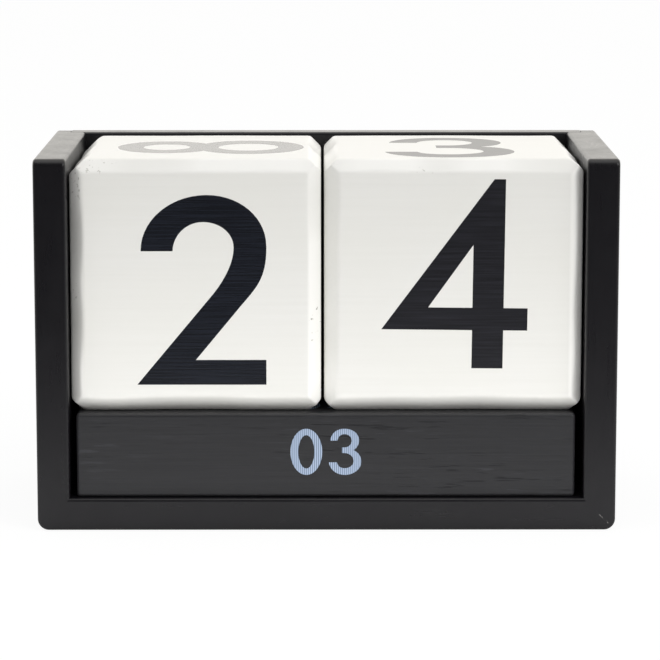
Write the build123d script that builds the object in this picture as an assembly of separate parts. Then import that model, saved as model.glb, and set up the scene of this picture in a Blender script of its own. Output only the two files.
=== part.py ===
"""Perpetual desk calendar in painted wood.

Two day cubes stand side by side on three month bars, inside a tray that is open at the front and on
top. The tray is two side boards and a base board, mitred where they meet, with a thin back panel let
into a rabbet and pinned from behind. The cubes and the bars are loose blocks: they lift or slide out
and are turned to show another face.

Millimetres. X runs to the right, Y to the back and Z up; the origin is on the table, under the
middle of the tray.
"""

import os

from build123d import *

# Tray
TRAY_WIDTH = 155.0
TRAY_DEPTH = 79.0
TRAY_HEIGHT = 100.0
BOARD = 8.7
OUTER_CORNER_RADIUS = 3.0
TOP_END_RADIUS = 2.0
EDGE_RADIUS = 0.9

# Back panel and the rabbet that it is let into
BACK_PANEL = 7.0
RABBET_WIDTH = 4.3
PANEL_SIDE_GAP = 0.15
PANEL_TOP_RADIUS = 0.8

# Day cubes
CUBE = 68.0
LEFT_CUBE_WIDTH = 67.0
RIGHT_CUBE_WIDTH = 68.9
CUBE_CHAMFER = 3.2
CUBE_SOFTENING = 1.4
LEFT_CUBE_GAP = 0.35
CUBE_TO_CUBE_GAP = 0.8
CUBE_SETBACK = 3.0

# Month bars
BAR_LENGTH = 133.6
BAR_SECTION = 22.8
BAR_EDGE_RADIUS = 1.0
BAR_LEFT_GAP = 1.8
BAR_TO_BAR_GAP = 0.2
BAR_SETBACK = 2.0

# Panel pins
PIN_SHANK_RADIUS = 0.65
PIN_HEAD_RADIUS = 1.1
PIN_HEAD = 0.6
PIN_NECK = 0.5
PIN_POINT = 1.6
CORNER_PIN_LENGTH = 18.0
BACK_PIN_LENGTH = 18.0
PIN_SINK = 0.3
CORNER_PIN_ROWS = (-27.0, 0.0, 25.0)
BACK_PIN_HEIGHTS = (20.0, 52.0, 84.0)
BACK_PIN_COLUMNS = (-45.0, 0.0, 45.0)

# Worked out from the dimensions above
FRONT = -TRAY_DEPTH / 2
BACK = TRAY_DEPTH / 2
INNER_HALF = TRAY_WIDTH / 2 - BOARD
RABBET_HALF = INNER_HALF + RABBET_WIDTH
RABBET_FLOOR = BOARD - RABBET_WIDTH
CUBE_FLOOR = BOARD + BAR_SECTION


def edges_at(shape, along, height):
    """Edges parallel to an axis whose middle is at a height."""
    return shape.edges().filter_by(along).filter_by(lambda edge: abs(edge.center().Z - height) < 1e-3)


def tray_frame():
    """The two sides and the base as one U, with every edge that a hand meets rounded over."""
    with BuildPart() as made:
        with BuildSketch(Plane.XZ.offset(-BACK)):
            with Locations((0, TRAY_HEIGHT / 2)):
                Rectangle(TRAY_WIDTH, TRAY_HEIGHT)
            with Locations((0, (TRAY_HEIGHT + BOARD) / 2)):
                Rectangle(2 * INNER_HALF, TRAY_HEIGHT - BOARD, mode=Mode.SUBTRACT)
        extrude(amount=TRAY_DEPTH)
    frame = made.part
    frame = fillet(frame.edges().filter_by(Axis.Y).sort_by(Axis.Z)[:2], OUTER_CORNER_RADIUS)
    frame = fillet(edges_at(frame, Axis.X, TRAY_HEIGHT), TOP_END_RADIUS)
    frame = fillet(outer_loop(frame), EDGE_RADIUS)
    return fillet(mouth_edges(frame), EDGE_RADIUS)


def outer_loop(frame):
    """The closed run of edges round the outside: front, over the two tops, and back."""
    return [edge for edge in frame.edges() if on_outside(edge) or at_foot(edge)]


def on_outside(edge):
    """True for an edge that lies in the outer face of a side board."""
    box = edge.bounding_box()
    return min(abs(box.min.X), abs(box.max.X)) > TRAY_WIDTH / 2 - 1e-3 and box.size.X < 1e-3


def at_foot(edge):
    """True for an edge of the tray's underside, and for the arcs that lead into it."""
    box = edge.bounding_box()
    across = box.size.Y < 1e-3 and abs(abs(box.min.Y) - TRAY_DEPTH / 2) < 1e-3
    return across and box.max.Z < OUTER_CORNER_RADIUS + 1e-3


def mouth_edges(frame):
    """The inner edges of the front and of the two tops, where the blocks go in."""
    picked = []
    for edge in frame.edges():
        box = edge.bounding_box()
        in_side = box.size.X < 1e-3 and abs(abs(box.min.X) - INNER_HALF) < 1e-3
        at_front = box.max.Y < FRONT + TOP_END_RADIUS + 1e-3
        on_top = box.min.Z > TRAY_HEIGHT - TOP_END_RADIUS - 1e-3
        on_base = box.max.Z < BOARD + 1e-3 and box.min.Z > BOARD - 1e-3 and at_front and box.size.Y < 1e-3
        if (in_side and (at_front or on_top)) or on_base:
            picked.append(edge)
    return picked


def base_wedge():
    """The space under both mitres: what it keeps of the U is the base board."""
    overrun = 10.0
    half = TRAY_WIDTH / 2
    corners = [
        (-half - overrun, -overrun),
        (half + overrun, -overrun),
        (INNER_HALF - overrun, BOARD + overrun),
        (-INNER_HALF + overrun, BOARD + overrun),
    ]
    with BuildPart() as made:
        with BuildSketch(Plane.XZ.offset(-BACK - overrun)):
            Polygon(*corners, align=None)
        extrude(amount=TRAY_DEPTH + 2 * overrun)
    return made.part


def rabbet_cutter():
    """The step cut round the inside of the back edge, for the back panel."""
    height = TRAY_HEIGHT - RABBET_FLOOR + BOARD
    return Pos(0, BACK, RABBET_FLOOR + height / 2) * Box(2 * RABBET_HALF, 2 * BACK_PANEL, height)


def back_panel():
    """A thin board that fills the rabbet, level with the tray's back and top."""
    width = 2 * (RABBET_HALF - PANEL_SIDE_GAP)
    height = TRAY_HEIGHT - RABBET_FLOOR
    middle = Pos(0, BACK - BACK_PANEL / 2, RABBET_FLOOR + height / 2)
    panel = middle * Box(width, BACK_PANEL, height)
    return fillet(edges_at(panel, Axis.X, TRAY_HEIGHT), PANEL_TOP_RADIUS)


def pin_profile(length):
    """Half of a panel pin, head up, its top a little under Z = 0, closed on the axis."""
    head_floor = -PIN_SINK - PIN_HEAD
    return Polygon(
        (0, -PIN_SINK),
        (PIN_HEAD_RADIUS, -PIN_SINK),
        (PIN_HEAD_RADIUS, head_floor),
        (PIN_SHANK_RADIUS, head_floor - PIN_NECK),
        (PIN_SHANK_RADIUS, PIN_POINT - length),
        (0, -length),
        align=None,
    )


def panel_pin(length):
    """A wire pin with a countersunk head, pointing down."""
    return revolve(Plane.XZ * pin_profile(length), Axis.Z)


def pin_hole(length):
    """The room that a sunk pin takes, up to the surface of the wood."""
    dimple = Cylinder(PIN_HEAD_RADIUS, PIN_SINK, align=(Align.CENTER, Align.CENTER, Align.MAX))
    return panel_pin(length) + dimple


def corner_pin_places():
    """Pins driven up through the base into the foot of each side board."""
    middle = TRAY_WIDTH / 2 - BOARD / 2
    return [Pos(side * middle, y, 0) * Rot(180, 0, 0) for side in (-1, 1) for y in CORNER_PIN_ROWS]


def back_pin_places():
    """Pins driven through the back panel's rim into the sides and the base."""
    rim = INNER_HALF + RABBET_WIDTH / 2
    sides = [(side * rim, z) for side in (-1, 1) for z in BACK_PIN_HEIGHTS]
    foot = [(x, BOARD - RABBET_WIDTH / 2) for x in BACK_PIN_COLUMNS]
    return [Pos(x, BACK, z) * Rot(-90, 0, 0) for x, z in sides + foot]


def tray_boards():
    """Every piece of the tray by name: boards with their pin holes, and the pins."""
    corner, back = corner_pin_places(), back_pin_places()
    holes = [place * pin_hole(CORNER_PIN_LENGTH) for place in corner]
    holes += [place * pin_hole(BACK_PIN_LENGTH) for place in back]
    frame = tray_frame() - rabbet_cutter()
    wedge = base_wedge()
    sides = (frame - wedge).solids().sort_by(Axis.X)
    boards = {
        "base_board": frame & wedge,
        "left_side_board": sides[0],
        "right_side_board": sides[1],
        "back_panel": back_panel(),
    }
    pieces = {name: board - holes for name, board in boards.items()}
    pieces["corner_pins"] = Compound(children=[place * panel_pin(CORNER_PIN_LENGTH) for place in corner])
    pieces["back_panel_pins"] = Compound(children=[place * panel_pin(BACK_PIN_LENGTH) for place in back])
    return pieces


def eased_cube(width):
    """A cube whose edges are planed to flat chamfers and then sanded soft, corners too."""
    cube = Box(width, CUBE, CUBE, align=(Align.MIN, Align.MIN, Align.MIN))
    cube = chamfer(cube.edges(), CUBE_CHAMFER)
    return fillet(cube.edges(), CUBE_SOFTENING)


def day_cubes():
    """The two date cubes where they stand, side by side on the month bars."""
    front = FRONT + CUBE_SETBACK
    left = -INNER_HALF + LEFT_CUBE_GAP
    right = left + LEFT_CUBE_WIDTH + CUBE_TO_CUBE_GAP
    return {
        "left_day_cube": Pos(left, front, CUBE_FLOOR) * eased_cube(LEFT_CUBE_WIDTH),
        "right_day_cube": Pos(right, front, CUBE_FLOOR) * eased_cube(RIGHT_CUBE_WIDTH),
    }


def month_bars():
    """Three square bars, one behind the other on the base, four months on each."""
    left, front = -INNER_HALF + BAR_LEFT_GAP, FRONT + BAR_SETBACK
    bar = Box(BAR_LENGTH, BAR_SECTION, BAR_SECTION, align=(Align.MIN, Align.MIN, Align.MIN))
    bar = fillet(bar.edges(), BAR_EDGE_RADIUS)
    pitch = BAR_SECTION + BAR_TO_BAR_GAP
    names = ("front_month_bar", "middle_month_bar", "rear_month_bar")
    return {name: Pos(left, front + row * pitch, BOARD) * bar for row, name in enumerate(names)}


def main():
    """Writes one STEP file for each piece."""
    os.makedirs("parts", exist_ok=True)
    for name, piece in {**tray_boards(), **day_cubes(), **month_bars()}.items():
        export_step(piece, os.path.join("parts", name + ".step"))


main()
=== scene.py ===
# %% [markdown]
# A block calendar in painted wood
#
# Two white day cubes stand on three black month bars in a black tray that is open at the front and on
# top. The tray, the pins and the loose blocks come from the CAD model with their true sizes and joints.
# Here they get paint, print and the unevenness that a sander leaves, and a studio to stand in.
# Lengths are in metres, as in the CAD frame: X to the right, Y to the back, Z up.

# %% The frame
import math

import bmesh
import bpy
from mathutils import Matrix, Vector, noise


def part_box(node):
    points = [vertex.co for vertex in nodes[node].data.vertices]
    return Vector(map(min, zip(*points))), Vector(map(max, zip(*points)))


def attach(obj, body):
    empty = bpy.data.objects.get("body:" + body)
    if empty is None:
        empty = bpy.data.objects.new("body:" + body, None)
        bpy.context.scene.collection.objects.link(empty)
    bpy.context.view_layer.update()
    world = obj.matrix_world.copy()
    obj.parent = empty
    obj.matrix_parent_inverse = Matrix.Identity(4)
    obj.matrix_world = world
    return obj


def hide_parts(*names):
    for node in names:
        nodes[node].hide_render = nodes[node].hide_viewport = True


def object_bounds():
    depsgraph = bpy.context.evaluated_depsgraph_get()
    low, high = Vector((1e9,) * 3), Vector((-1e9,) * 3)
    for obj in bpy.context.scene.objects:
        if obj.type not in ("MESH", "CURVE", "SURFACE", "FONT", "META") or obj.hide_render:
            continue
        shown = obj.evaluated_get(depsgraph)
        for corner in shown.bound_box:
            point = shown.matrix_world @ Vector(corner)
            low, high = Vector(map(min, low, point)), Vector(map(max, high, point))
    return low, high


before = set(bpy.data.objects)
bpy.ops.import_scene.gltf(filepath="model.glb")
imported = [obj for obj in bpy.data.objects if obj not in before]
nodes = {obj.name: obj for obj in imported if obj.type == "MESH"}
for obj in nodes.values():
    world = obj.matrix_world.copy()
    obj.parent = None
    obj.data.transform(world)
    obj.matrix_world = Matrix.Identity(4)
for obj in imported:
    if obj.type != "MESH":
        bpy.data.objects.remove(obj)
cad_low, cad_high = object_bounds()
MM = 0.001
print("CAD box in mm:", [round(v / MM, 1) for v in (*cad_low, *cad_high)])

# %% [markdown]
# The camera
#
# The photograph was taken with a long lens from a little above the calendar: the tops of the side
# boards show as thin slanted strips, while the uprights hardly converge. A lens of 169 mm on a 36 mm
# sensor, 0.85 m in front of the tray and tilted 9.3 degrees down, puts the corners within 3 pixels.

# %% Camera
camera_data = bpy.data.cameras.new("studio_camera")
camera_data.sensor_width = 36.0
camera_data.lens = 169.28
camera_data.clip_end = 50.0
camera = bpy.data.objects.new("studio_camera", camera_data)
bpy.context.scene.collection.objects.link(camera)
camera.location = (-0.0015, -0.85273, 0.18820)
camera.rotation_euler = (math.radians(90 - 9.337), 0, math.radians(-0.171))
bpy.context.scene.camera = camera
bpy.context.scene.view_settings.view_transform = "Standard"
print("camera height in mm:", round(camera.location.z / MM, 1))

# %% [markdown]
# Colours and nodes
#
# Colours are written as the sRGB hex values that an image editor shows. Shaders calculate in linear
# light, so one function converts them. Another adds a node, sets its values and makes its links, which
# keeps each material below short enough to read from top to bottom. A third starts a material.

# %% Helpers for every material
def linear(hex_colour):
    """An sRGB hex colour such as "#1a1b1d" as a linear RGBA tuple."""
    parts = [int(hex_colour[i:i + 2], 16) / 255 for i in (1, 3, 5)]
    return (*[p / 12.92 if p <= 0.04045 else ((p + 0.055) / 1.055) ** 2.4 for p in parts], 1.0)


def add_node(tree, kind, links=None, **settings):
    """Adds a node. A setting is a property, or a value for the input of that name or number.
    A link goes from an output socket to the input of that name or number."""
    node = tree.nodes.new(kind)
    for key, value in settings.items():
        if hasattr(node, key):
            setattr(node, key, value)
        else:
            node.inputs[key.replace("_", " ")].default_value = value
    for key, socket in (links or {}).items():
        tree.links.new(socket, node.inputs[key])
    return node


def new_material(name):
    """An empty material, its node tree and its output node."""
    material = bpy.data.materials.new(name)
    material.use_nodes = True
    tree = material.node_tree
    tree.nodes.clear()
    return material, tree, tree.nodes.new("ShaderNodeOutputMaterial")


print("#808080 in linear light:", round(linear("#808080")[0], 3))

# %% [markdown]
# The studio
#
# The calendar stands on a white sweep in even light. The floor is an ordinary white surface, so that it
# takes the soft shadow; the camera alone sees it lightened towards plain white. For every other ray the
# table ends a little in front of the calendar, where the room is dark, so the black boards don't turn
# grey below. The sky is white for the camera. In reflections it is white behind the calendar and dark in
# front, which is what turns the black tops of the boards grey and leaves their fronts black, and as a
# lamp it is dimmer. A soft box on the right in front, one overhead and a low glow from the table's edge
# do the rest.

# %% Floor
FLOOR_SIZE = 8.0
FLOOR_MIDDLE = (0, 1.5, -0.0001)
TABLE_END, TABLE_FULL = -0.30, -0.09
WHITENED = 0.88
floor_mesh = bmesh.new()
bmesh.ops.create_grid(floor_mesh, x_segments=2, y_segments=2, size=FLOOR_SIZE / 2)
bmesh.ops.translate(floor_mesh, verts=floor_mesh.verts, vec=FLOOR_MIDDLE)
floor_data = bpy.data.meshes.new("studio_floor")
floor_mesh.to_mesh(floor_data)
floor_mesh.free()
floor = bpy.data.objects.new("studio_floor", floor_data)
bpy.context.scene.collection.objects.link(floor)

floor_material, tree, output = new_material("white_sweep_paper")
seen = add_node(tree, "ShaderNodeLightPath")
where = add_node(tree, "ShaderNodeTexCoord")
split = add_node(tree, "ShaderNodeSeparateXYZ", {"Vector": where.outputs["Object"]})
table_edge = add_node(
    tree, "ShaderNodeMapRange", {"Value": split.outputs["Y"]},
    interpolation_type="SMOOTHSTEP", From_Min=TABLE_END, From_Max=TABLE_FULL)
lit = add_node(
    tree, "ShaderNodeMath", {0: table_edge.outputs["Result"], 1: seen.outputs["Is Camera Ray"]},
    operation="MAXIMUM")
sheet = add_node(
    tree, "ShaderNodeMix", {0: lit.outputs[0]}, data_type="RGBA", A=linear("#303030"), B=linear("#f0f0ef"))
paper = add_node(tree, "ShaderNodeBsdfDiffuse", {"Color": sheet.outputs["Result"]})
glow = add_node(tree, "ShaderNodeEmission", Color=linear("#ffffff"), Strength=1.04)
share = add_node(tree, "ShaderNodeMath", {0: seen.outputs["Is Camera Ray"]}, operation="MULTIPLY")
share.inputs[1].default_value = WHITENED
mixed = add_node(tree, "ShaderNodeMixShader", {0: share.outputs[0], 1: paper.outputs[0], 2: glow.outputs[0]})
tree.links.new(mixed.outputs[0], output.inputs["Surface"])
floor_data.materials.append(floor_material)
print("floor:", FLOOR_SIZE, "m wide, material", floor_material.name)

# %% A sky that is white behind and dark in front
world = bpy.data.worlds.new("white_studio")
bpy.context.scene.world = world
world.use_nodes = True
tree = world.node_tree
tree.nodes.clear()
rays = add_node(tree, "ShaderNodeLightPath")
direct = rays.outputs["Is Camera Ray"]
for kind in ("Is Glossy Ray", "Is Transmission Ray"):
    either = add_node(tree, "ShaderNodeMath", {0: direct, 1: rays.outputs[kind]}, operation="MAXIMUM")
    direct = either.outputs[0]
facing = add_node(tree, "ShaderNodeTexCoord")
split = add_node(tree, "ShaderNodeSeparateXYZ", {"Vector": facing.outputs["Generated"]})
RAMP_END = 0.6


def front_to_back(front, back):
    """A strength that goes from one value in front of the calendar to another behind it."""
    ramp = add_node(
        tree, "ShaderNodeMapRange", {"Value": split.outputs["Y"]},
        From_Min=-RAMP_END, From_Max=RAMP_END, To_Min=front, To_Max=back)
    return ramp.outputs["Result"]


mirrored = front_to_back(0.02, 1.5)
strength = add_node(
    tree, "ShaderNodeMath", {0: mirrored, 1: rays.outputs["Is Camera Ray"]}, operation="MAXIMUM")
dim = add_node(tree, "ShaderNodeBackground", {"Strength": front_to_back(0.70, 0.66)}, Color=linear("#ffffff"))
bright = add_node(tree, "ShaderNodeBackground", {"Strength": strength.outputs[0]}, Color=linear("#fffcf6"))
sky = add_node(tree, "ShaderNodeMixShader", {0: direct, 1: dim.outputs[0], 2: bright.outputs[0]})
add_node(tree, "ShaderNodeOutputWorld", {"Surface": sky.outputs[0]})
print("sky:", world.name, "with", len(tree.nodes), "nodes")


# %% Lamps
def soft_lamp(name, place, target, width, height, watts):
    """A soft box: a rectangle of light that the camera doesn't see."""
    data = bpy.data.lights.new(name, "AREA")
    data.shape, data.size, data.size_y, data.energy = "RECTANGLE", width, height, watts
    lamp = bpy.data.objects.new(name, data)
    bpy.context.scene.collection.objects.link(lamp)
    lamp.location = place
    lamp.rotation_euler = (Vector(target) - Vector(place)).to_track_quat("-Z", "Y").to_euler()
    lamp.visible_camera = False
    return lamp


# The first two light the calendar's middle, and the glow lies flat on the table and shines up.
MIDDLE = (0, 0, 0.05)
soft_lamp("key_softbox", place=(0.78, -0.85, 0.70), target=MIDDLE, width=0.6, height=0.6, watts=4.3)
soft_lamp("overhead_softbox", place=(0.0, -0.35, 1.25), target=MIDDLE, width=1.2, height=1.0, watts=3.0)
table_glow = soft_lamp(
    "table_glow", place=(0, -0.102, 0.0005), target=(0, -0.102, 1), width=0.40, height=0.12, watts=0.145)
table_glow.visible_glossy = False

# %% [markdown]
# Black satin paint on the tray
#
# The boards are smooth stock, sprayed with black satin acrylic paint. To the eye that is an almost
# black body with a broad soft gloss, which is why the tops turn grey where they are seen at a grazing
# angle. The spray leaves a very fine orange peel, and under it runs a little grain. At the lower right
# corner the mitre shows in front as a hairline, where small flakes of paint are missing. A flaw of that
# kind could be a picture laid over the board; here it is worked out from the mitre's own place, so it
# stays on the joint.
#
# Fibres are about 0.2 mm apart and the peel is finer still, while a pixel of this picture covers 0.3 mm.
# Both are drawn two to four times as coarse, so that they show.

# %% Where a pattern lies
def object_place(tree, centre=(0, 0, 0), stretch=(1, 1, 1)):
    """Object coordinates in metres, measured from a centre and stretched along each axis."""
    where = add_node(tree, "ShaderNodeTexCoord")
    moved = add_node(
        tree, "ShaderNodeMapping", {"Vector": where.outputs["Object"]},
        vector_type="POINT", Location=[-c * s for c, s in zip(centre, stretch)], Scale=stretch)
    return moved.outputs["Vector"]


def per_metre(size_mm):
    """The scale that gives a noise or wave pattern features of this size in millimetres."""
    return 1.0 / (size_mm * MM)


def product(tree, *factors):
    """Several masks multiplied together."""
    whole = factors[0]
    for factor in factors[1:]:
        whole = add_node(tree, "ShaderNodeMath", {0: whole, 1: factor}, operation="MULTIPLY").outputs[0]
    return whole


print("scale of a pattern 0.8 mm wide:", per_metre(0.8), "per metre")

# %% Chips along the mitre
HALF_WIDTH = cad_high.x
BASE_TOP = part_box("base_board")[1].z


def mitre_chips(tree):
    """Where the paint has flaked in front from the right mitre, along which X + Z is half the width."""
    split = add_node(tree, "ShaderNodeSeparateXYZ", {"Vector": object_place(tree)})
    reach = add_node(tree, "ShaderNodeMath", {0: split.outputs["X"], 1: split.outputs["Z"]}, operation="ADD")
    past = add_node(tree, "ShaderNodeMath", {0: reach.outputs[0]}, operation="SUBTRACT")
    past.inputs[1].default_value = HALF_WIDTH
    off = add_node(tree, "ShaderNodeMath", {0: past.outputs[0]}, operation="ABSOLUTE")
    near = add_node(
        tree, "ShaderNodeMapRange", {"Value": off.outputs[0]}, From_Min=0.25 * MM, From_Max=0.05 * MM)
    low = add_node(
        tree, "ShaderNodeMapRange", {"Value": split.outputs["Z"]},
        From_Min=BASE_TOP, From_Max=BASE_TOP - 0.2 * MM)
    in_front = add_node(
        tree, "ShaderNodeMapRange", {"Value": split.outputs["Y"]},
        From_Min=cad_low.y + 2 * MM, From_Max=cad_low.y + 1 * MM)
    flakes = add_node(
        tree, "ShaderNodeTexNoise", {"Vector": object_place(tree)}, Scale=per_metre(1.7), Detail=3.0)
    flaked = add_node(
        tree, "ShaderNodeMapRange", {"Value": flakes.outputs["Fac"]}, From_Min=0.55, From_Max=0.63)
    return product(tree, *(mask.outputs["Result"] for mask in (near, low, in_front, flaked)))


print("mitre runs up to", round(BASE_TOP / MM, 1), "mm")

# %% Satin paint for the boards
ACRYLIC_IOR = 1.49


def board_paint(name, body_colour, grain_axis):
    """Black satin acrylic over smooth wood, with its grain along one axis."""
    material, tree, output = new_material(name)
    along = [1.0, 1.0, 1.0]
    along[grain_axis] = 0.03
    grain_place, place = object_place(tree, stretch=along), object_place(tree)
    grain = add_node(tree, "ShaderNodeTexNoise", {"Vector": grain_place}, Scale=per_metre(0.9), Detail=3.0)
    cloud = add_node(tree, "ShaderNodeTexNoise", {"Vector": place}, Scale=per_metre(22), Detail=2.0)
    peel = add_node(tree, "ShaderNodeTexNoise", {"Vector": place}, Scale=per_metre(0.45), Detail=1.0)
    blotch = add_node(tree, "ShaderNodeTexNoise", {"Vector": place}, Scale=per_metre(7), Detail=3.0)
    deep = linear(body_colour)
    pale = tuple(c * 1.5 for c in deep[:3]) + (1.0,)
    tone = add_node(tree, "ShaderNodeMix", {0: cloud.outputs["Fac"]}, data_type="RGBA", A=deep, B=pale)
    chipped = add_node(
        tree, "ShaderNodeMix", {0: mitre_chips(tree), "A": tone.outputs["Result"]},
        data_type="RGBA", B=linear("#7b7977"))
    uneven = add_node(
        tree, "ShaderNodeMix",
        {0: blotch.outputs["Fac"], "A": grain.outputs["Fac"], "B": blotch.outputs["Fac"]})
    rough = add_node(
        tree, "ShaderNodeMapRange", {"Value": uneven.outputs["Result"]},
        From_Min=0.25, From_Max=0.75, To_Min=0.24, To_Max=0.37)
    low_bump = add_node(
        tree, "ShaderNodeBump", {"Height": grain.outputs["Fac"]}, Strength=0.25, Distance=0.08 * MM)
    bump = add_node(
        tree, "ShaderNodeBump", {"Height": peel.outputs["Fac"], "Normal": low_bump.outputs[0]},
        Strength=0.15, Distance=0.05 * MM)
    skin = add_node(tree, "ShaderNodeBsdfPrincipled", {
        "Base Color": chipped.outputs["Result"], "Roughness": rough.outputs["Result"],
        "Normal": bump.outputs[0]}, IOR=ACRYLIC_IOR)
    tree.links.new(skin.outputs[0], output.inputs["Surface"])
    return material


tray_paint = board_paint("black_satin_acrylic_grain_across", "#131215", 0)
upright_paint = board_paint("black_satin_acrylic_grain_upright", "#131215", 2)
print("board paints:", tray_paint.name, "and", upright_paint.name)

# %% Painting the boards
def paint_node(node_name, material):
    """Gives a CAD node its paint, in place of the plain colour it came with."""
    data = nodes[node_name].data
    data.materials.clear()
    data.materials.append(material)


boards = {
    "base_board": tray_paint, "back_panel": tray_paint,
    "left_side_board": upright_paint, "right_side_board": upright_paint}
for name, paint in boards.items():
    paint_node(name, paint)
print("painted:", " ".join(boards))

# %% [markdown]
# Black paint on the bars and pins
#
# The bars are open-grained wood, brushed with a thin coat of the same paint. The coat sinks into the
# pores, so the eye sees short dark scores and a few paler ones along the bar, in patches, under a duller
# gloss than the boards have. A noise pattern stretched along X is enough for that: its lowest and
# highest spots become the scores, drawn a few times as coarse as real pores. The pins are steel, painted
# over with the boards.

# %% Black paint on the bars
def bar_paint(name):
    """Thin black paint on open-grained wood: short dark and pale pores lie along X."""
    material, tree, output = new_material(name)
    fibre_place, pore_place, patch_place = (object_place(tree, stretch=(s, 1, 1)) for s in (0.02, 0.07, 0.35))
    fibres = add_node(tree, "ShaderNodeTexNoise", {"Vector": fibre_place}, Scale=per_metre(0.55), Detail=4.0)
    pores = add_node(tree, "ShaderNodeTexNoise", {"Vector": pore_place}, Scale=per_metre(0.7), Detail=2.0)
    patch = add_node(tree, "ShaderNodeTexNoise", {"Vector": patch_place}, Scale=per_metre(18), Detail=1.0)
    where = add_node(tree, "ShaderNodeMapRange", {"Value": patch.outputs["Fac"]}, From_Min=0.42, From_Max=0.60)
    high = add_node(tree, "ShaderNodeMapRange", {"Value": pores.outputs["Fac"]}, From_Min=0.62, From_Max=0.70)
    deep = add_node(tree, "ShaderNodeMapRange", {"Value": pores.outputs["Fac"]}, From_Min=0.38, From_Max=0.30)
    open_pores = product(tree, high.outputs["Result"], where.outputs["Result"])
    scores = product(tree, deep.outputs["Result"], where.outputs["Result"])
    tone = add_node(
        tree, "ShaderNodeMix", {0: fibres.outputs["Fac"]},
        data_type="RGBA", A=linear("#222224"), B=linear("#2e2e31"))
    scored = add_node(
        tree, "ShaderNodeMix", {0: scores, "A": tone.outputs["Result"]}, data_type="RGBA", B=linear("#17171a"))
    worn = add_node(
        tree, "ShaderNodeMix", {0: open_pores, "A": scored.outputs["Result"]},
        data_type="RGBA", B=linear("#343438"))
    height = add_node(tree, "ShaderNodeMath", {0: fibres.outputs["Fac"], 1: scores}, operation="SUBTRACT")
    bump = add_node(tree, "ShaderNodeBump", {"Height": height.outputs[0]}, Strength=0.35, Distance=0.1 * MM)
    skin = add_node(
        tree, "ShaderNodeBsdfPrincipled", {"Base Color": worn.outputs["Result"], "Normal": bump.outputs[0]},
        Roughness=0.42, IOR=ACRYLIC_IOR)
    tree.links.new(skin.outputs[0], output.inputs["Surface"])
    return material


bar_black = bar_paint("black_acrylic_on_open_grain")
for name in ("front_month_bar", "middle_month_bar", "rear_month_bar"):
    paint_node(name, bar_black)
print("bars painted with", bar_black.name)

# %% Steel pins, painted over
pin_material, tree, output = new_material("painted_steel_pin")
speck = add_node(tree, "ShaderNodeTexNoise", {"Vector": object_place(tree)}, Scale=per_metre(0.4), Detail=2.0)
pin_tone = add_node(
    tree, "ShaderNodeMix", {0: speck.outputs["Fac"]},
    data_type="RGBA", A=linear("#131314"), B=linear("#2b2b2d"))
pin_skin = add_node(
    tree, "ShaderNodeBsdfPrincipled", {"Base Color": pin_tone.outputs["Result"]},
    Roughness=0.35, IOR=ACRYLIC_IOR)
tree.links.new(pin_skin.outputs[0], output.inputs["Surface"])
for name in ("corner_pins", "back_panel_pins"):
    paint_node(name, pin_material)
print("pins painted with", pin_material.name)

# %% [markdown]
# White paint on the day cubes
#
# The cubes are wood blocks in white satin paint, sprayed thin enough for the grain to show as faint
# lines across, drawn coarser than real fibres as on the boards. The edges are painted a little whiter
# than the faces, a painted highlight for the light that the planed strips catch, most where the planed
# strip is narrow. Here and there a flake is missing, most of them at the left cube's upper left corner.
# The piece carries how near an edge each point is as an attribute, which is written when the block is
# made; it sets both the painted highlight and the flakes.

# %% White paint
left_low, left_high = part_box("left_day_cube")
KNOCKED_CORNER = (left_low.x + 4 * MM, left_low.y + 2 * MM, left_high.z - 3 * MM)
WEAR_AND_SHEEN_FULL = 0.15


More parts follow.
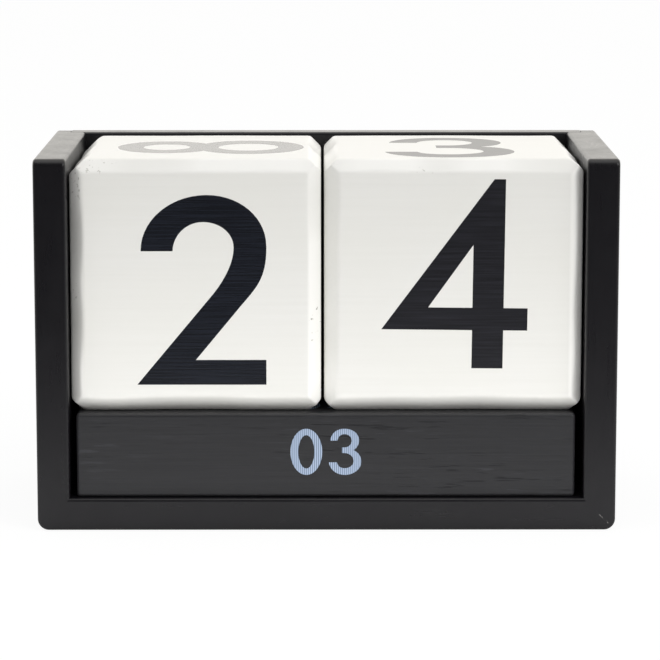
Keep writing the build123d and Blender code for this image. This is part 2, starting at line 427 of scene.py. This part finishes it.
def white_paint(name):
    """White satin acrylic with faint grain along X, edges painted whiter as a highlight, and a few flakes
    missing.
    """
    material, tree, output = new_material(name)
    fibre_place, place = object_place(tree, stretch=(0.02, 1, 1)), object_place(tree)
    fibres = add_node(tree, "ShaderNodeTexNoise", {"Vector": fibre_place}, Scale=per_metre(0.8), Detail=4.0)
    cloud = add_node(tree, "ShaderNodeTexNoise", {"Vector": place}, Scale=per_metre(30), Detail=2.0)
    tone = add_node(
        tree, "ShaderNodeMix", {0: fibres.outputs["Fac"]},
        data_type="RGBA", A=linear("#e6e5e1"), B=linear("#efeeeb"))
    warm = add_node(
        tree, "ShaderNodeMix", {0: cloud.outputs["Fac"], "B": tone.outputs["Result"]},
        data_type="RGBA", A=linear("#e9e8e2"))
    # How near an edge a point is: it drives both the painted edge highlight and the flakes.
    wear_and_sheen = add_node(tree, "ShaderNodeAttribute", attribute_name="edge_wear_and_sheen")
    on_edge = add_node(
        tree, "ShaderNodeMapRange", {"Value": wear_and_sheen.outputs["Fac"]}, From_Min=0.0, From_Max=WEAR_AND_SHEEN_FULL)
    # Painted highlight: the edges are made whiter in colour, standing in for the light that the planed strips
    # catch.
    painted_edge_highlight = add_node(
        tree, "ShaderNodeMix", {0: on_edge.outputs["Result"], "A": warm.outputs["Result"]},
        data_type="RGBA", B=linear("#f7f6f2"))
    flakes = add_node(tree, "ShaderNodeTexNoise", {"Vector": place}, Scale=per_metre(1.1), Detail=2.0)
    patch = add_node(tree, "ShaderNodeTexNoise", {"Vector": place}, Scale=per_metre(14), Detail=1.0)
    knocked = add_node(
        tree, "ShaderNodeVectorMath", {0: object_place(tree, centre=KNOCKED_CORNER)}, operation="LENGTH")
    near = add_node(
        tree, "ShaderNodeMapRange", {"Value": knocked.outputs["Value"]}, From_Min=12 * MM, From_Max=5 * MM)
    here = add_node(tree, "ShaderNodeMapRange", {"Value": patch.outputs["Fac"]}, From_Min=0.64, From_Max=0.70)
    spread = add_node(
        tree, "ShaderNodeMath", {0: here.outputs["Result"], 1: near.outputs["Result"]}, operation="MAXIMUM")
    looser = add_node(
        tree, "ShaderNodeMath", {0: near.outputs["Result"], 2: flakes.outputs["Fac"]}, operation="MULTIPLY_ADD")
    looser.inputs[1].default_value = 0.03
    flaked = add_node(tree, "ShaderNodeMapRange", {"Value": looser.outputs[0]}, From_Min=0.67, From_Max=0.71)
    chips = product(tree, on_edge.outputs["Result"], flaked.outputs["Result"], spread.outputs[0])
    chipped = add_node(
        tree, "ShaderNodeMix", {0: chips, "A": painted_edge_highlight.outputs["Result"]},
        data_type="RGBA", B=linear("#bbb8b0"))
    bump = add_node(
        tree, "ShaderNodeBump", {"Height": fibres.outputs["Fac"]}, Strength=0.2, Distance=0.06 * MM)
    skin = add_node(
        tree, "ShaderNodeBsdfPrincipled",
        {"Base Color": chipped.outputs["Result"], "Normal": bump.outputs[0]}, Roughness=0.36, IOR=ACRYLIC_IOR)
    tree.links.new(skin.outputs[0], output.inputs["Surface"])
    return material


cube_white = white_paint("white_satin_acrylic")
print("cube paint:", cube_white.name)

# %% [markdown]
# Hand-sanded blocks
#
# Each cube has its edges planed flat at 45 degrees and then sanded by hand, so the width of the flat
# wanders along the edge and every crease is soft. A bevel operator would make each edge the same.
# Here a cube is divided into a fine grid whose lines crowd towards the edges, the points beyond a
# wandering 45 degree plane are pressed back on to it, and a smoothing pass softens the creases. A few
# edges are planed more than the rest or less, as on the real blocks: most of all those that a block
# stands on, as the dark line under it shows.

# %% Pressing the edges back
GRID_CUTS = 70
CROWDING = 1.25
WANDER_LENGTH = 16 * MM


def press_edges(shape, half, planed_mm, wander_mm, planed_more, seed):
    """Sizes a divided cube and presses what lies beyond a wandering 45 degree plane back on to it.

    planed_more gives the extra width in mm of an edge, which is named by its side on each axis, with 0
    for the axis that it runs along."""
    drift = Vector((seed * 3.7, seed * 5.1, seed * 7.9))
    for vert in shape.verts:
        spread = [math.sin(u * CROWDING) / math.sin(CROWDING) for u in vert.co]
        place = Vector([s * h for s, h in zip(spread, half)])
        side = [1 if c >= 0 else -1 for c in place]
        out = [abs(c) for c in place]
        for a, b, along in ((0, 1, 2), (1, 2, 0), (2, 0, 1)):
            # Each of the twelve edges reads its own line through the noise.
            here = Vector((side[a] * 2 + along * 9, side[b] * 2, place[along] / WANDER_LENGTH)) + drift
            edge = tuple(0 if axis == along else side[axis] for axis in range(3))
            leg = (planed_mm + planed_more.get(edge, 0) + wander_mm * noise.noise(here)) * MM
            over = out[a] + out[b] - (half[a] + half[b] - leg)
            if over > 0:
                out[a] -= over / 2
                out[b] -= over / 2
        vert.co = [s * o for s, o in zip(side, out)]


print("points along each edge of a cube:", GRID_CUTS + 2)

# %% A block with uneven planed edges
SMOOTHING_PASSES = 2
WEAR_AND_SHEEN_REACH = 1.15


def note_wear_and_sheen(shape, half, planed_mm):
    """Writes on each point how near an edge it is, down to 0 just inside the planed strip."""
    # Nearness to an edge sets both the painted highlight on the edges and where the paint has flaked.
    layer = shape.verts.layers.float.new("edge_wear_and_sheen")
    for vert in shape.verts:
        inset = sorted((h - abs(c)) / MM for h, c in zip(half, vert.co))
        vert[layer] = max(0.0, 1.0 - (inset[0] + inset[1]) / (planed_mm * WEAR_AND_SHEEN_REACH))


def sanded_block(name, node_name, body, planed_mm, wander_mm, planed_more, seed, material):
    """Stands for a CAD block: its own box, with planed edges whose width wanders."""
    block_low, block_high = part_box(node_name)
    centre, half = (block_low + block_high) / 2, (block_high - block_low) / 2
    shape = bmesh.new()
    bmesh.ops.create_cube(shape, size=2.0)
    bmesh.ops.subdivide_edges(shape, edges=shape.edges, cuts=GRID_CUTS, use_grid_fill=True)
    press_edges(shape, half, planed_mm, wander_mm, planed_more, seed)
    for _ in range(SMOOTHING_PASSES):
        bmesh.ops.smooth_vert(
            shape, verts=shape.verts, factor=0.5, use_axis_x=True, use_axis_y=True, use_axis_z=True)
    note_wear_and_sheen(shape, half, planed_mm)
    bmesh.ops.translate(shape, verts=shape.verts, vec=centre)
    bmesh.ops.recalc_face_normals(shape, faces=shape.faces)
    data = bpy.data.meshes.new(name)
    shape.to_mesh(data)
    shape.free()
    data.materials.append(material)
    data.shade_smooth()
    piece = bpy.data.objects.new(name, data)
    bpy.context.scene.collection.objects.link(piece)
    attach(piece, body)
    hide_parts(node_name)
    print(name, "faces:", len(data.polygons))


# %% The two cubes
under_front, under_back = (0, -1, -1), (0, 1, -1)
upper_left, left_front, right_front = (-1, 0, 1), (-1, -1, 0), (1, -1, 0)
sanded_block(
    "left_cube_body", "left_day_cube", "left_cube", planed_mm=3.3, wander_mm=1.0,
    planed_more={under_front: 1.1, under_back: 1.1, upper_left: 1.2}, seed=1, material=cube_white)
sanded_block(
    "right_cube_body", "right_day_cube", "right_cube", planed_mm=3.2, wander_mm=0.9,
    planed_more={under_front: 1.1, under_back: 1.1, left_front: 0.5, right_front: -0.7},
    seed=2, material=cube_white)

# %% [markdown]
# Printed figures
#
# The figures are screen printed: a flat film of ink with the same outline everywhere, in a plain
# geometric hand. Each outline is a closed Bezier curve, drawn in millimetres on a 51 mm high figure.
# Inner outlines cut the holes. The filled curve becomes a mesh a few hundredths of a millimetre thick,
# and is then laid on its face of the block. Ink follows the grain of the wood beneath, so it carries
# fine streaks along the fibres.

# %% Outlines of the figures
# A knot is (x, z) for a corner, or has the way on to its next control point after it. Where the way
# back to the control point before isn't simply the opposite, that follows too.
def oval(x, z, rx, rz):
    """A closed ellipse in four knots."""
    k = 0.5523  # the handle length that makes four curves a circle of radius 1
    return [(x, z + rz, rx * k, 0), (x + rx, z, 0, -rz * k), (x, z - rz, -rx * k, 0), (x - rx, z, 0, rz * k)]


FIGURES = {
    "0": [oval(17.4, 25.5, 17.2, 25.5), oval(17.4, 25.5, 8.7, 18.4)],
    "1": [[(3.5, 41.4), (14.6, 51.0), (19.3, 51.0), (19.3, 0), (10.7, 0), (10.7, 39.2), (7.2, 36.3)]],
    "2": [[(0, 0), (34.5, 0), (34.5, 6.7), (15.7, 6.7), (28.0, 21.6, 4.2, 4.9, 0, 0),
           (34.6, 37.2, 0, 7.9, 0, -8.2), (18.8, 51.0, -9.6, 0, 8.8, 0), (1.2, 36.0, 0, 0, 0, 8.3),
           (9.7, 36.0, 0.1, 4.3, 0, 0), (17.8, 43.8, 4.4, 0), (25.9, 37.0, 0, -4.4, 0, 3.9),
           (20.5, 24.6, 0, 0, 2.6, 3.3)]],
    "3": [[(1.6, 37.9), (9.3, 37.9, 0.4, 3.9, 0, 0), (17.0, 45.0, 4.5, 0), (24.7, 37.7, 0, -3.9, 0, 4.0),
           (16.8, 30.4, 0, 0, 4.6, 0), (14.3, 30.4), (14.3, 24.2), (16.8, 24.2, 5.6, 0, 0, 0),
           (26.8, 15.2, 0, -4.6, 0, 5.0), (17.2, 7.4, -4.9, 0), (8.8, 13.9, 0, 0, 0.7, -3.9),
           (0, 13.9, 0.9, -8.2, 0, 0), (17.2, 0, 10.0, 0, -8.8, 0), (35.1, 14.9, 0, 6.2, 0, -8.4),
           (26.4, 27.4, 3.6, 1.6, 4.4, -1.6),
           (32.7, 38.3, 0, 7.4, 0, -5.0), (17.0, 51.0, -8.9, 0, 8.6, 0), (1.6, 37.9, 0, 0, 0.6, 7.6)]],
    "4": [[(0, 10.7), (24.2, 10.7), (24.2, 0.4), (32.5, 0.4), (32.5, 10.7), (38.9, 10.7), (38.9, 16.7),
           (32.5, 16.7), (32.5, 51.2), (29.5, 51.2)],
          [(12.4, 16.7), (24.2, 16.7), (24.2, 33.6)]],
    "5": [[(7.9, 51.0), (32.0, 51.0), (32.0, 44.1), (14.2, 44.1), (12.4, 33.0, 1.4, 0.5, 0, 0),
           (17.0, 33.6, 9.8, 0, -2.4, 0), (34.2, 16.9, 0, -10.0, 0, 9.2), (15.6, 0, -7.0, 0, 10.0, 0),
           (1.0, 9.8, 0, 0, 2.6, -5.6), (7.6, 13.9, 1.8, -4.2, 0, 0), (15.5, 6.9, 5.6, 0, -3.8, 0),
           (25.4, 16.7, 0, 5.8), (14.9, 26.8, -4.4, 0, 5.8, 0), (3.4, 23.6, 0, 0, 3.0, 2.0)]],
    "6": [[(20.6, 51.0), (30.6, 51.0), (18.4, 32.6, 0.4, 0, 0, 0), (19.0, 32.7, 8.8, 0, -0.3, 0),
           (35.2, 16.4, 0, -9.1), (17.7, 0, -9.7, 0), (0.2, 16.6, 0, 5.4, 0, -9.2),
           (5.2, 28.6, 0, 0, -2.8, -4.0)],
          oval(17.7, 16.4, 9.0, 9.4)],
    "7": [[(1.0, 51.0), (33.6, 51.0), (33.6, 49.0), (11.9, -0.4), (4.0, 3.1), (21.7, 44.0), (1.0, 44.0)]],
    "8": [[(17.4, 51.0, 8.4, 0), (32.6, 37.7, 0, -4.7, 0, 7.2), (26.7, 27.1, 4.5, -2.1, 3.5, 2.1),
           (34.6, 14.9, 0, -8.3, 0, 6.3), (17.4, 0, -9.5, 0), (0.2, 14.9, 0, 6.3, 0, -8.3),
           (8.1, 27.1, -3.5, 2.1, -4.5, -2.1), (2.2, 37.7, 0, 7.2, 0, -4.7)],
          oval(17.4, 37.6, 7.3, 6.4), oval(17.4, 15.2, 9.1, 8.2)],
}
DRAWN_HEIGHT, DRAWN_MIDDLE, USUAL_WIDTH = 51.0, 25.6, 35.4
WIDTHS = {"1": 23.0, "3": 35.1, "4": 38.9, "8": 34.8}
FIGURES["9"] = [  # a 6 turned upside down
    [(USUAL_WIDTH - knot[0], DRAWN_HEIGHT - knot[1], *[-handle for handle in knot[2:]]) for knot in outline]
    for outline in FIGURES["6"]]
print("figures drawn:", " ".join(FIGURES))


# %% From outlines to a flat print
FILM = 0.03
CURVE_STEPS = 14


def drawn_figures(text, height_mm, gap_mm):
    """A flat mesh of printed figures around the origin, in metres, facing +Z."""
    scale, offset = height_mm / DRAWN_HEIGHT, 0.0
    curve = bpy.data.curves.new("figures", "CURVE")
    curve.dimensions, curve.fill_mode, curve.resolution_u = "2D", "BOTH", CURVE_STEPS
    curve.extrude = FILM / scale
    for figure in text:
        for outline in FIGURES[figure]:
            spline = curve.splines.new("BEZIER")
            spline.bezier_points.add(len(outline) - 1)
            spline.use_cyclic_u = True
            for point, knot in zip(spline.bezier_points, outline):
                point.handle_left_type = point.handle_right_type = "FREE"
                x, z, on_x, on_z = (*knot, 0, 0)[:4]
                back_x, back_z = knot[4:] or (-on_x, -on_z)
                point.co = (offset + x, z, 0)
                point.handle_right = (offset + x + on_x, z + on_z, 0)
                point.handle_left = (offset + x + back_x, z + back_z, 0)
        offset += WIDTHS.get(figure, USUAL_WIDTH) + gap_mm / scale
    holder = bpy.data.objects.new("figures", curve)
    flat = bpy.data.meshes.new_from_object(holder)
    bpy.data.objects.remove(holder)
    half_wide = (offset - gap_mm / scale) / 2
    flat.transform(Matrix.Scale(scale * MM, 4) @ Matrix.Translation((-half_wide, -DRAWN_MIDDLE, 0)))
    return flat


print("film of ink:", FILM, "mm to each side of its middle")

# %% On to a face of a block
FACES = {  # the way across a print and the way up it
    "front": ((1, 0, 0), (0, 0, 1)), "back": ((-1, 0, 0), (0, 0, 1)),
    "left": ((0, -1, 0), (0, 0, 1)), "right": ((0, 1, 0), (0, 0, 1)),
    "top": ((1, 0, 0), (0, 1, 0)), "under": ((1, 0, 0), (0, -1, 0)),
}
INK_SUNK = 0.01 * MM


def print_on(name, node_name, body, face, text, height_mm, material,
             turn=0.0, aside=(0.0, 0.0), gap_mm=2.0):
    """Prints figures on one face of a block, turned about the face's middle and moved aside in mm."""
    block_low, block_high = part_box(node_name)
    centre, half = (block_low + block_high) / 2, (block_high - block_low) / 2
    across, up = (Vector(v) for v in FACES[face])
    normal = across.cross(up)
    surface = centre + Vector([n * h for n, h in zip(normal, half)])
    basis = Matrix((across, up, normal)).transposed().to_4x4()
    shift = Matrix.Translation((aside[0] * MM, aside[1] * MM, -INK_SUNK))
    data = drawn_figures(text, height_mm, gap_mm)
    data.transform(Matrix.Translation(surface) @ basis @ shift @ Matrix.Rotation(math.radians(turn), 4, "Z"))
    data.name = name
    data.materials.clear()
    data.materials.append(material)
    piece = bpy.data.objects.new(name, data)
    bpy.context.scene.collection.objects.link(piece)
    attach(piece, body)


print("faces of a block:", " ".join(FACES))

# %% [markdown]
# Inks
#
# The cubes carry dense blue-black ink, with thin streaks where it missed a fibre; on the right cube it
# dried a little greyer and less glossy. The bars carry pale blue-grey ink laid down in close upright
# lines, as a digital printer does, so the black shows between them.

# %% Inks
def screen_ink(name, dark, light, roughness):
    """A dense film of ink with fine streaks along X, where it missed a fibre."""
    material, tree, output = new_material(name)
    streak_place = object_place(tree, stretch=(0.025, 1, 1))
    streak = add_node(tree, "ShaderNodeTexNoise", {"Vector": streak_place}, Scale=per_metre(0.5), Detail=3.0)
    tone = add_node(tree, "ShaderNodeValToRGB", {0: streak.outputs["Fac"]})
    start, end = tone.color_ramp.elements
    start.position, start.color = 0.40, linear(dark)
    end.position, end.color = 0.70, linear(light)
    bump = add_node(tree, "ShaderNodeBump", {"Height": streak.outputs["Fac"]}, Strength=0.3, Distance=0.08 * MM)
    skin = add_node(tree, "ShaderNodeBsdfPrincipled", {
        "Base Color": tone.outputs["Color"], "Normal": bump.outputs[0]}, Roughness=roughness, IOR=ACRYLIC_IOR)
    tree.links.new(skin.outputs[0], output.inputs["Surface"])
    return material


left_cube_ink = screen_ink("blue_black_screen_ink", "#17191f", "#22252e", 0.22)
right_cube_ink = screen_ink("soft_black_screen_ink", "#1c1c20", "#29292f", 0.30)
print("inks on the cubes:", left_cube_ink.name, "and", right_cube_ink.name)

# %% Ink in upright lines
LINE_PITCH = 0.55
blue_ink, tree, output = new_material("pale_blue_printer_ink")
lines = add_node(
    tree, "ShaderNodeTexWave", {"Vector": object_place(tree)},
    bands_direction="X", wave_profile="SIN", Scale=per_metre(LINE_PITCH) / math.pi)
line_tone = add_node(
    tree, "ShaderNodeMix", {0: lines.outputs["Fac"]},
    data_type="RGBA", A=linear("#66778f"), B=linear("#b0c0d8"))
blue_skin = add_node(
    tree, "ShaderNodeBsdfPrincipled", {"Base Color": line_tone.outputs["Result"]},
    Roughness=0.5, IOR=ACRYLIC_IOR)
tree.links.new(blue_skin.outputs[0], output.inputs["Surface"])
print("ink on the bars:", blue_ink.name)

# %% Figures on the cubes
CUBE_FIGURE = 51.0


def print_cube(side, ink, figures):
    """Prints one cube: face, figure, turn in degrees and shift in mm for each of its six faces."""
    for face, (figure, turn, aside) in figures.items():
        print_on(
            f"{side}_cube_figure_{figure}", f"{side}_day_cube", f"{side}_cube", face, figure,
            CUBE_FIGURE, ink, turn, aside)


print_cube("left", left_cube_ink, {
    "front": ("2", 0, (2.1, -0.7)), "top": ("8", 90, (3.2, -1.2)), "left": ("1", 90, (0.5, 0.3)),
    "right": ("6", -90, (-0.6, 0.4)), "back": ("0", 180, (0.3, -0.5)), "under": ("7", 1, (0.4, 0.2))})
print_cube("right", right_cube_ink, {
    "front": ("4", -0.6, (0.4, 3.4)), "top": ("3", 0, (-0.4, -1.9)), "left": ("5", 180, (0.4, -0.4)),
    "right": ("0", 90, (-0.3, 0.6)), "back": ("1", 0, (0.6, 0.2)), "under": ("2", 90, (0.5, -0.2))})

# %% Numbers on the bars
BAR_NUMBER, BAR_RAISED, BAR_GAP = 12.6, 1.0, 1.6
for row, numbers in (("front", "03 04 01 02"), ("middle", "07 08 05 06"), ("rear", "11 12 09 10")):
    for face, number in zip(("front", "top", "back", "under"), numbers.split()):
        print_on(
            f"{row}_bar_number_{number}", f"{row}_month_bar", f"{row}_bar", face, number,
            BAR_NUMBER, blue_ink, 0, (0, BAR_RAISED), BAR_GAP)
